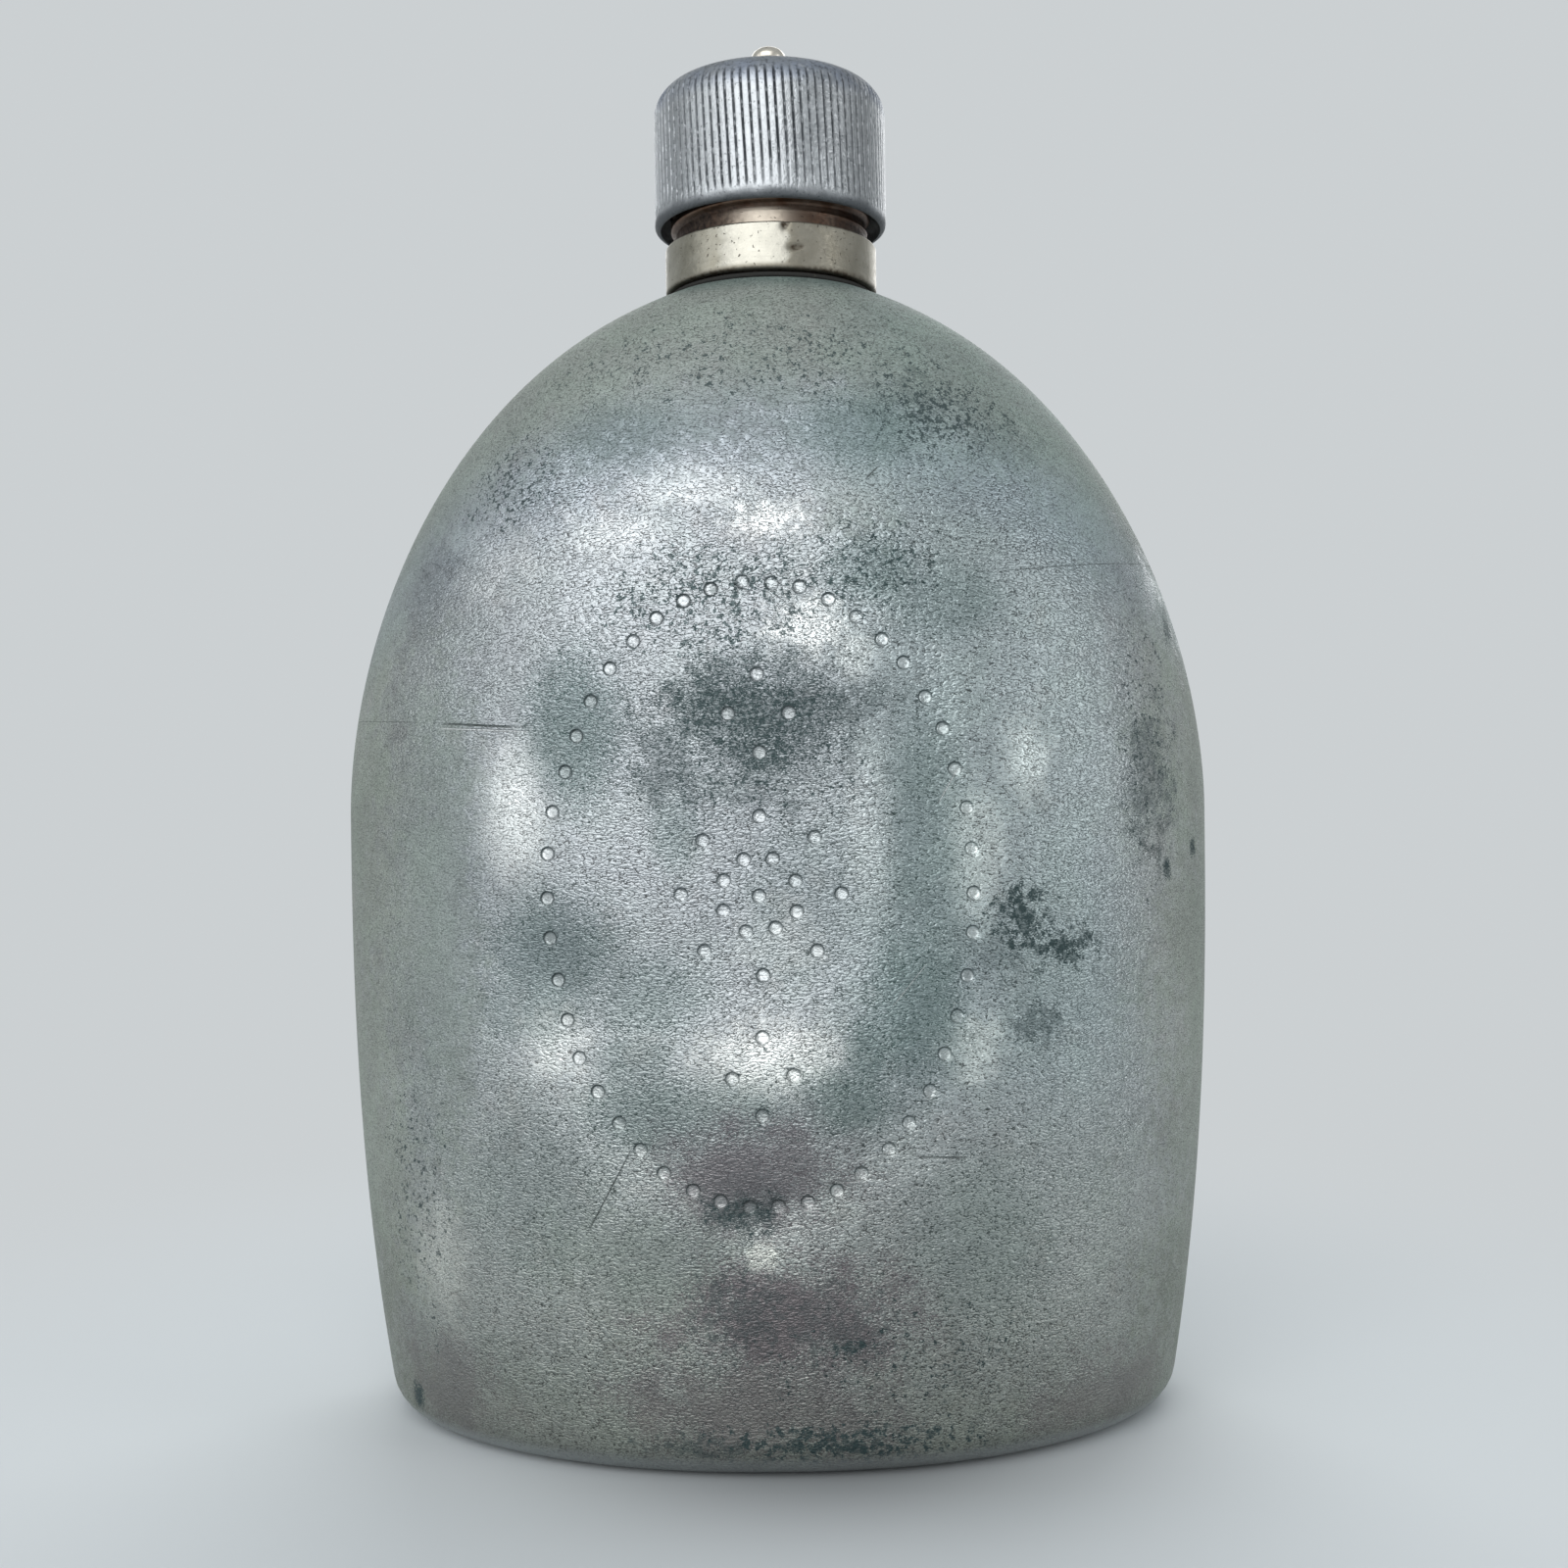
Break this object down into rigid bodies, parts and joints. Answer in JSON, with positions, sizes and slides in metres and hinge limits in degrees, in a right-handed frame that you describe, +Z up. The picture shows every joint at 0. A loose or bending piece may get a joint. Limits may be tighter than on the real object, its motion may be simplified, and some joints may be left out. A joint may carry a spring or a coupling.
{
  "type": "military canteen",
  "caption": "Kidney-shaped aluminium field water bottle with a domed shoulder, a banded screw neck and a fluted screw cap that carries a small swivel stud",
  "frame": {"origin": "point of the flat base on the axis of the neck", "axes": "+Z up along the axis of the neck, +X to the right seen from the front, the convex front faces -Y and the hollow back faces +Y"},
  "size_m": [0.1414, 0.0688, 0.2218],
  "materials": {
    "body_aluminium": "dull grey aluminium with a fine pebbled grain",
    "cap_aluminium": "satin aluminium, worn smooth",
    "worn_nickel": "warm worn nickel plate",
    "tarnished_brass": "brown tarnished brass",
    "black_seal": "matte black",
    "cork": "pressed cork"
  },
  "bodies": {
    "canteen": {"body_shell": "body_aluminium", "neck_seal": "black_seal", "neck_ferrule": "tarnished_brass", "collar_band": "worn_nickel"},
    "stud": {"chain_stud": "worn_nickel", "stud_washer": "worn_nickel"},
    "cap": {"cap_shell": "cap_aluminium", "cap_gasket": "cork"}
  },
  "joints": [
    {"name": "cap_lift", "type": "slide", "parent": "canteen", "child": "stud", "axis": [0, 0, 1], "range_m": [0, 0.0225]},
    {"name": "cap_turn", "type": "hinge", "parent": "stud", "child": "cap", "pos_m": [0, 0, 0.1917], "axis": [0, 0, 1], "range_deg": [0, 2520]}
  ],
  "couplings": [
    {"joint": "cap_lift", "follows": "cap_turn", "m_per_rad": 0.0005093}
  ]
}
